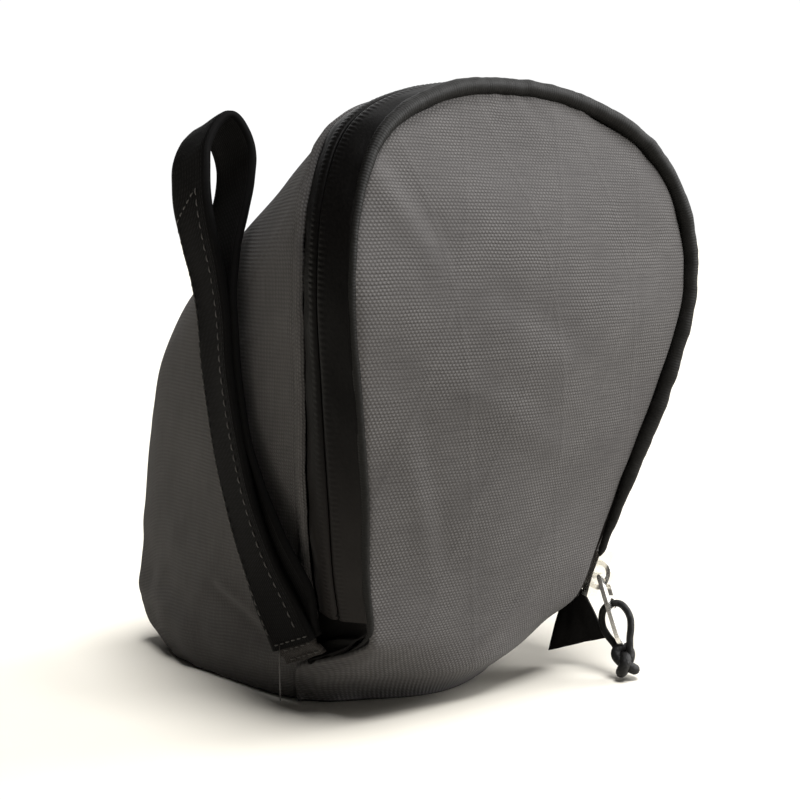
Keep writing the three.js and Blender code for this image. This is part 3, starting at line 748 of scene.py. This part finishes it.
def add_canvas_face():
    def point(u, v):
        half = rim_point(lerp(0.5 + PANEL_CORNER, 1, v))[:, 0]
        tuck = 1 + PANEL_TUCK / np.maximum(half, LEAST_HALF)
        at = panel_point(rim_point, FACE_PROFILE, (2 * u - 1) * tuck, v)
        at[:, 2] += PANEL_TUCK * np.clip(1 - v / TOP_TUCK, 0, 1)
        return to_floor(at)

    def relief(u, v, at):
        x, z = at[:, 0], at[:, 2]
        from_side = (1 - np.abs(2 * u - 1)) * FACE_HALF
        from_rim = np.minimum(from_side, v * FACE_LENGTH)
        pucker = creases(u * FACE_WIDTH, v * FACE_LENGTH, height=0.22, length=13, seed=3)
        groove = bell(from_rim, width=1.3, height=-0.9) * smooth(z, 12, 30)
        turned_in = bell(from_side, width=3.2, height=-2.2) * hump(z, 0, 6, *EDGE_TURN)
        folds = sum(pressed_fold(x, z, *fold) for fold in FACE_FOLDS)
        swell = creases(x, z, height=0.55, length=52, seed=5)
        return pucker * np.exp(-from_rim / PUCKER_REACH) + groove + turned_in + folds + swell
    add_sheet("canvas_face", "front_panel", canvas, "canvas", CANVAS_THICK, point, relief,
              columns=110, rows=150, facing=-1, thread=rows_by_height(FACE_PROFILE))


def add_canvas_body():
    def point(s, along):
        return to_floor(body_point(s, along))

    def relief(u, v, at):
        x, y, z = at.T
        along = v * BODY_LENGTH
        hem = HEM_RISE * np.sqrt(np.clip(1 - ((along - HEM_HALF) / HEM_HALF) ** 2, 0, 1))
        hem = hem * smooth(z, *EDGE_TURN)
        sewn_down = bell(along - 2.3 * HEM_HALF, width=0.8, height=-0.35)
        back_seam = -1.1 * smooth(along, BODY_LENGTH - 2.2, BODY_LENGTH)
        gather = creases(u * BODY_ROUND, along, height=0.2, length=9, seed=11) * np.exp(-along / GATHER_REACH)
        sag = creases(y, z + x, height=0.5, length=55, seed=12) * smooth(along, 4, 25)
        crumple = creases(y, z, height=0.45, length=17, seed=13)
        crumple = crumple * smooth(along, 30, 70) * (1 - smooth(z, 20, 60))
        fold = pressed_fold(y, z, *SIDE_FOLD) * (x < 0)
        return hem + sewn_down + back_seam + gather + sag + crumple + fold
    add_sheet("canvas_body", "body_shell", canvas, "canvas", CANVAS_THICK, point, relief,
              columns=240, rows=150, facing=1)


# The back is let in this far inside the body's edge, which its top follows for a share of its length
SEAM_INSET, SEAM_FOLLOW = 0.7, 0.08


def add_canvas_back():
    def seam_rim(s):
        return spline(back_ring, s) - outward(back_ring, s) * SEAM_INSET

    def point(u, v):
        top = seam_rim(0.5 + PANEL_CORNER * (2 * u - 1))
        panel = panel_point(seam_rim, BACK_PROFILE, 2 * u - 1, v)
        return to_floor(lerp(top, panel, np.clip(v / SEAM_FOLLOW, 0, 1)[:, None]))

    def relief(u, v, at):
        from_rim = np.minimum((1 - np.abs(2 * u - 1)) * BACK_HALF, v * BACK_LENGTH)
        seam = bell(from_rim, width=1.6, height=-0.9)
        pucker = creases(u * 2 * BACK_HALF, v * BACK_LENGTH, height=0.25, length=11, seed=22)
        swell = creases(at[:, 0], at[:, 2], height=0.45, length=36, seed=21)
        return seam + pucker * np.exp(-from_rim / PUCKER_REACH) + swell
    add_sheet("canvas_back", "back_panel", canvas, "canvas", CANVAS_THICK, point, relief,
              columns=110, rows=110, facing=1, thread=rows_by_height(BACK_PROFILE))


# Section of the base, from the middle of its underside round the edge to the middle of its top
BASE_SECTION = [
    # share of the way to the walls, inset from them, height
    (0, 0, 0), (0.5, 0, 0), (0.8, 0, 0), (1, 7.1, 0), (1, 6.6, 0.3), (1, 6.4, 0.9), (1, 6.5, 1.6),
    (1, 6.9, BASE_THICK), (0.8, 0, BASE_THICK), (0, 0, BASE_THICK),
]


def base_outline(count):
    steps = np.linspace(0, 1, count + 1)[:-1]
    one, zero = np.ones(count), np.zeros(count)
    front = panel_point(rim_point, FACE_PROFILE, 2 * steps - 1, one)
    rear = panel_point(back_rim, BACK_PROFILE, 1 - 2 * steps, one)
    return np.concatenate([front, body_point(one, steps), rear, body_point(zero, 1 - steps)])


def add_canvas_base(side_points=40, weld_reach=0.01):
    edge = base_outline(side_points)
    centre = edge.mean(0)
    reach = np.linalg.norm(edge - centre, axis=1, keepdims=True)
    rows = []
    for share, inset, z in BASE_SECTION:
        row = centre + (edge - centre) * (share - inset / reach)
        row[:, 2] = z
        rows.append(np.concatenate([row, row[:1]]))
    mesh = grid_mesh("canvas_base", np.concatenate(rows), len(edge), len(rows) - 1, -1)
    piece = link_piece("canvas_base", mesh, "bag", canvas, "canvas", "base_panel")
    weld = piece.modifiers.new("weld", "WELD")
    weld.merge_threshold = weld_reach * MM


# Piping and zip band

def add_piping(points=420, sides=18, thin_radius=1.1, sunk=1.7, end=0.006, tip=0.05):
    s = np.linspace(PIPING_LEFT, PIPING_RIGHT, points)
    # Left of the top the piping is drawn thin and sinks into the seam
    thin = 1 - smooth(s, 0.33, 0.46)
    middle = piping_point(s) + (BACKWARDS - sunk * outward(face_ring, s)) * thin[:, None]
    swell = 0.2 * smooth(s, 0.5, 0.62)
    taper_right = 1.4 * smooth(s, 0.78, PIPING_RIGHT)
    taper_left = 0.7 * (1 - smooth(s, PIPING_LEFT, 0.12))
    size = lerp(PIPING_RADIUS, thin_radius, thin) + swell - taper_right - taper_left
    ends = np.clip(np.minimum(s - PIPING_LEFT, PIPING_RIGHT - s) / end, tip, 1) ** 0.5
    length = np.linalg.norm(np.gradient(middle, axis=0), axis=1).cumsum()
    turn, y = np.meshgrid(np.arange(sides) / sides * 2 * np.pi, length)
    wrinkle = creases(y, 3 * np.cos(turn), height=0.07, length=8, seed=31)
    wrinkle += creases(y, 3 * np.sin(turn), height=0.05, length=3.5, seed=32)
    crumple = creases(y, 4 * np.cos(turn), height=0.15, length=9, seed=33)
    wrinkle += crumple * smooth(s, 0.4, 0.6)[:, None]
    radius = (size[:, None] + wrinkle * np.minimum(size / PIPING_RADIUS, 1)[:, None]) * ends[:, None]
    mesh = round_tube("piping", middle, outward(face_ring, s), radius, sides)
    link_piece("piping", mesh, "bag", binding, "coated_tape", "front_piping")


BAND_LENGTH = 372
# Edges of the band as shares of its width: under the piping and over the body's seam
BAND_FRONT, BAND_REAR = -1.7 / BAND_WIDTH, 1 + 0.6 / BAND_WIDTH
HALF_SLIT = 0.4 / 2 / BAND_WIDTH
# Right of the top the loose band stands out past the piping
BAND_SWELL, BAND_SWELL_REACH = 2.2, (0.52, 0.6, 0.8, 0.87)
# The coil shows as a row of ribs on each side of the slit, by the distance from it
COIL_PITCH, COIL_HEIGHT, COIL_LEVEL, COIL_REACH = 1.5, 0.18, 0.55, (0.9, 1.5, 2.9, 3.6)


def slit_line(s, shift=0.1, reach=0.15):
    """Where the slit lies across the band, nearer the face at its left end."""
    return slit_at(s) - shift * (1 - smooth(s, ZIP_LEFT, ZIP_LEFT + reach))


def add_zip_half(name, node, low, high, slit_sign):
    """One half of the band, between two lines across it, with the slit at the side that slit_sign says."""
    def place(u, v):
        s = lerp(ZIP_LEFT, ZIP_RIGHT, u)
        return s, lerp(low(s), high(s), v)

    def point(u, v):
        s, across = place(u, v)
        swell = BAND_SWELL * hump(s, *BAND_SWELL_REACH) * np.sin(np.pi * np.clip(across, 0, 1))
        return band_point(s, across) + outward(body_seam, s) * swell[:, None]

    def relief(u, v, at):
        s, across = place(u, v)
        from_slit = (across - slit_line(s)) * slit_sign * BAND_WIDTH
        length = u * BAND_LENGTH
        teeth = lerp(np.cos(2 * np.pi * length / COIL_PITCH), 1, COIL_LEVEL)
        coil = COIL_HEIGHT * hump(from_slit, *COIL_REACH) * teeth
        lip = -0.4 * (1 - smooth(from_slit, 0.4, 1.0))
        seam = -0.9 * smooth(across, 0.93, 1.0)
        drape = creases(length, across * BAND_WIDTH, height=0.18, length=12, seed=41)
        return coil + lip + seam + drape * smooth(from_slit, 3, 6)
    add_sheet(name, node, tape, "coated_tape", TAPE_THICK, point, relief, columns=1100, rows=16, facing=1)


def add_zip_band():
    add_zip_half("zip_band_front", "zip_tape_front", low=lambda s: np.full_like(s, BAND_FRONT),
                 high=lambda s: slit_line(s) - HALF_SLIT, slit_sign=-1)
    add_zip_half("zip_band_rear", "zip_tape_rear", low=lambda s: slit_line(s) + HALF_SLIT,
                 high=lambda s: np.full_like(s, BAND_REAR), slit_sign=1)


# The cloth that closes the zip's ends starts under the band, dips in, and has one slanting pleat across it
FOLD_UNDER, FOLD_DIP, FOLD_LENGTH = 0.002, 4.5, 20


def add_zip_fold(name, node, side, high, low, skew=0.7, pleat_at=0.5, slant=0.2):
    def point(u, v):
        s = lerp(high, low, u)
        dip = FOLD_DIP * np.sin(np.pi * v) * np.sin(np.pi * u ** skew)
        return band_point(s, lerp(BAND_FRONT, BAND_REAR, v)) - outward(body_seam, s) * dip[:, None]

    def relief(u, v, at):
        pleat = bell(u - pleat_at - slant * v, width=0.09, height=1.5) * np.sin(np.pi * v) ** 0.5
        return pleat + creases(u * FOLD_LENGTH, v * BAND_WIDTH, height=0.25, length=9, seed=51)
    add_sheet(name, node, tape_without_glow, "coated_tape", TAPE_THICK, point, relief,
              columns=40, rows=40, facing=side)


def add_zip_folds():
    add_zip_fold("zip_fold_left", "zip_end_left", -1, ZIP_LEFT + FOLD_UNDER, ZIP_END_LOW)
    add_zip_fold("zip_fold_right", "zip_end_right", 1, ZIP_RIGHT - FOLD_UNDER, 1 - ZIP_END_LOW)


TAB_FRONT_HIGH, TAB_FRONT_LOW = np.array((46.6, -52.6, 25.0)), np.array((51.5, -58, 10.0))
TAB_REAR_HIGH, TAB_REAR_LOW = np.array((45.5, -45.0, 17.5)), np.array((41.0, -43.5, 4.5))


def add_zip_tab(height=0.7, width=15):
    def point(u, v):
        front = lerp(TAB_FRONT_HIGH, TAB_FRONT_LOW, v[:, None])
        rear = lerp(TAB_REAR_HIGH, TAB_REAR_LOW, v[:, None])
        return lerp(front, rear, u[:, None])

    def relief(u, v, at):
        bow = height * np.sin(np.pi * u) * v
        return bow + creases(u * width, v * width, height=0.2, length=8, seed=61)
    add_sheet("zip_end_tab", "zip_tab_right", tape_without_glow, "coated_tape", TAB_THICK, point, relief,
              columns=30, rows=30, facing=-1)


# Straps

# Rows of stitching, as shares of the webbing's width and of its run
REAR_ROW, FRONT_ROW, ROWS_FROM = 0.94, 0.23, 0.012
SEWN_REAR, SEWN_FRONT = 0.335, 0.365
END_ROW, END_ROW_SPAN = 0.004, (0.05, 0.95)
LONG_ROW, SHORT_ROW = 160, 30
STITCH_CLEAR = 0.05
# Strip under the strap's end, and the rows of stitches on it
FOOT_THICK, FOOT_LENGTH, FOOT_ROWS, FOOT_ROW_SPAN, FOOT_PROUD = 1.4, 8, (0.16, 0.8), (0.04, 0.96), 0.45
# Place across the left strap where the thread's end hangs loose
LOOSE_END_AT = 0.75


def wall_half(side, y, z, share=0.2, reach=0.6, steps=120):
    """How far out a side wall stands at each place along and up it, looked up in its front lower part."""
    first = 0 if side < 0 else 1 - share
    shares = np.linspace(first, first + share, steps)
    s, along = (g.ravel() for g in np.meshgrid(shares, np.linspace(0, reach, steps)))
    wall = to_floor(body_point(s, along))
    near = np.argmin((wall[:, 1] - y[:, None]) ** 2 + (wall[:, 2] - z[:, None]) ** 2, axis=1)
    return np.abs(wall[near, 0])


def row_of_stitches(line, out):
    """Stitches along a line of points, as starts, ends and ways out."""
    far = lengths_along(line)
    stitches = []
    for start in np.arange(0, far[-1] - STITCH, STITCH + STITCH_GAP):
        a, b, o = (np.array([np.interp(at, far, values[:, k]) for k in range(3)])
                   for at, values in ((start, line), (start + STITCH, line), (start + STITCH / 2, out)))
        stitches.append((a, b, unit(o)))
    return stitches


def loose_end(top, side, out=0.4, forward=0.6, stop=4.5):
    """The thread's end, left hanging from the foot of the strap nearly to the floor."""
    end = np.array((top[0] + out * side, top[1] - forward, stop))
    return top, end, np.array((side, 0.0, 0.0))


def strap_relief(u, v, at):
    from_edge = np.minimum(v, 1 - v) * STRAP_WIDTH
    thick_edge = 0.35 * (1 - smooth(from_edge, 0, 1.0))
    return thick_edge + creases(u * STRAP_RUN, v * STRAP_WIDTH, height=0.12, length=21, seed=71)


def foot_relief(u, v, at):
    padding = bell(u - 0.3, width=0.2, height=0.5)
    return padding + creases(u * FOOT_LENGTH, v * STRAP_WIDTH, height=0.2, length=7, seed=81)


def strap_foot(ribbon, side, drop=4.6, front=0.12, step=0.2, lean=0.6, stands=1.8):
    """Surface of the strip that goes on down from the strap's end and leans in towards the wall."""
    half = np.full(1, 0.5)
    down = unit(ribbon(np.zeros(1), half) - ribbon(np.full(1, STEP), half))

    def foot(u, v):
        at = ribbon(0 * u, lerp(front, 1, v)) + down * (GAP + drop * u)[:, None]
        at[:, 0] -= side * step
        on_wall = side * (wall_half(side, at[:, 1], at[:, 2]) + stands)
        at[:, 0] = lerp(at[:, 0], on_wall, lean * smooth(u, 0, 1))
        return at
    return foot


def strap_stitches(ribbon, foot, side):
    def on_face(u, v):
        u, v = np.broadcast_arrays(np.asarray(u, float), np.asarray(v, float))
        out = -way_out(ribbon, u, v) * side
        return ribbon(u, v) + out * (STRAP_LAYER + STITCH_CLEAR), out
    top = np.linspace(SEWN_REAR, SEWN_FRONT, SHORT_ROW), np.linspace(REAR_ROW, FRONT_ROW, SHORT_ROW)
    stitches = row_of_stitches(*on_face(np.linspace(ROWS_FROM, SEWN_REAR, LONG_ROW), REAR_ROW))
    stitches += row_of_stitches(*on_face(np.linspace(ROWS_FROM, SEWN_FRONT, LONG_ROW), FRONT_ROW))
    stitches += row_of_stitches(*on_face(*top))
    stitches += row_of_stitches(*on_face(END_ROW, np.linspace(*END_ROW_SPAN, SHORT_ROW)))
    for u in FOOT_ROWS:
        row, across = np.full(SHORT_ROW, u), np.linspace(*FOOT_ROW_SPAN, SHORT_ROW)
        line = foot(row, across)
        line[:, 0] += side * (FOOT_PROUD + foot_relief(row, across, line))
        stitches += row_of_stitches(line, np.tile((side, 0.0, 0.0), (SHORT_ROW, 1)))
    if side < 0:
        stitches.append(loose_end(on_face(np.full(1, END_ROW), LOOSE_END_AT)[0][0], side))
    return stitches


def add_strap(end, side):
    ribbon = strap_ribbon(side)
    foot = strap_foot(ribbon, side)
    add_sheet(f"webbing_{end}", f"strap_{end}", webbing, "webbing", STRAP_LAYER, ribbon, strap_relief,
              columns=330, rows=16, facing=side)
    # The strip is drawn in the darker canvas, as painted shade
    add_sheet(f"strap_tab_{end}", f"strap_foot_{end}", shade_darkened_canvas, "canvas", FOOT_THICK, foot, foot_relief,
              columns=30, rows=40, facing=side)
    mesh = thread_mesh(f"strap_stitching_{end}", strap_stitches(ribbon, foot, side))
    link_piece(f"strap_stitching_{end}", mesh, "bag", grey_thread, "webbing")


# Metal

def finish_metal(width=0.35, steps=3, angle=35):
    for node in ("slider", "pull_tab"):
        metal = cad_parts[node]
        metal.data.materials.clear()
        metal.data.materials.append(nickel)
        edge = metal.modifiers.new("cast_edges", "BEVEL")
        edge.width, edge.segments, edge.limit_method = width * MM, steps, "ANGLE"
        edge.angle_limit, edge.harden_normals = math.radians(angle), True


# Studio

# Large soft boxes: strength, spread in degrees, and the way the light goes
SOFT_LIGHTS = [
    ("key_box", 5.0, 40, (-0.58, 0.75, -0.42)),
    ("overhead_box", 3.6, 28, (0.04, 0.28, -1.0)),
    ("side_box", 1.6, 34, (-0.8, 0.25, -0.55)),
]
FLAGGED_OFF_FLOOR = "key_box"
# Brightness of the backdrop, of the room on the left and on the right, and what gloss sees more on the right
BACKDROP, DARK_SIDE, LIT_SIDE, MIRRORED_SIDE = 1.03, 0.02, 0.25, 1.5


def add_floor(r=30.0):
    mesh = bpy.data.meshes.new("paper_floor")
    mesh.from_pydata([(-r, -r, 0), (r, -r, 0), (r, r, 0), (-r, r, 0)], [], [(0, 1, 2, 3)])
    mesh.materials.append(studio_paper())
    floor = bpy.data.objects.new("paper_floor", mesh)
    bpy.context.scene.collection.objects.link(floor)
    return floor


def add_room(lit_from=0.38):
    """White backdrop all round; as a light the room is bright on the right and dim on the left."""
    world = bpy.data.worlds.new("studio")
    world.use_nodes = True
    tree = world.node_tree
    make = partial(add, tree)
    sideways = make("SeparateXYZ", make("TexCoord").outputs["Generated"]).outputs["X"]
    right = make("MapRange", sideways, 0.0, lit_from, 0.0, 1.0, interpolation_type="SMOOTHSTEP")
    path = make("LightPath")
    panel = make("Math", path.outputs["Is Glossy Ray"], MIRRORED_SIDE, LIT_SIDE, operation="MULTIPLY_ADD")
    room = make("Math", right, panel, DARK_SIDE, operation="MULTIPLY_ADD")
    backdrop = make("Math", path.outputs["Is Camera Ray"], BACKDROP, operation="MULTIPLY")
    strength = make("Math", room, backdrop, operation="MAXIMUM")
    background = tree.nodes["Background"]
    background.inputs["Color"].default_value = linear("#ffffff")
    tree.links.new(strength.outputs[0], background.inputs["Strength"])
    bpy.context.scene.world = world


def add_studio():
    scene = bpy.context.scene
    scene.view_settings.view_transform = "Standard"
    floor = add_floor()
    add_room()
    for name, strength, spread, towards in SOFT_LIGHTS:
        light = bpy.data.lights.new(name, "SUN")
        light.energy, light.angle = strength, math.radians(spread)
        lamp = bpy.data.objects.new(name, light)
        lamp.rotation_mode = "QUATERNION"
        lamp.rotation_quaternion = Vector(towards).to_track_quat("-Z", "Y")
        scene.collection.objects.link(lamp)
        if name == FLAGGED_OFF_FLOOR:
            flag = bpy.data.collections.new("flagged_floor")
            flag.objects.link(floor)
            lamp.light_linking.receiver_collection = flag
            flag.collection_objects[0].light_linking.link_state = "EXCLUDE"


add_camera()
add_pull_cord()
add_canvas_face()
add_canvas_body()
add_canvas_back()
add_canvas_base()
add_piping()
add_zip_band()
add_zip_folds()
add_zip_tab()
add_strap("left", -1)
add_strap("right", 1)
finish_metal()
add_studio()
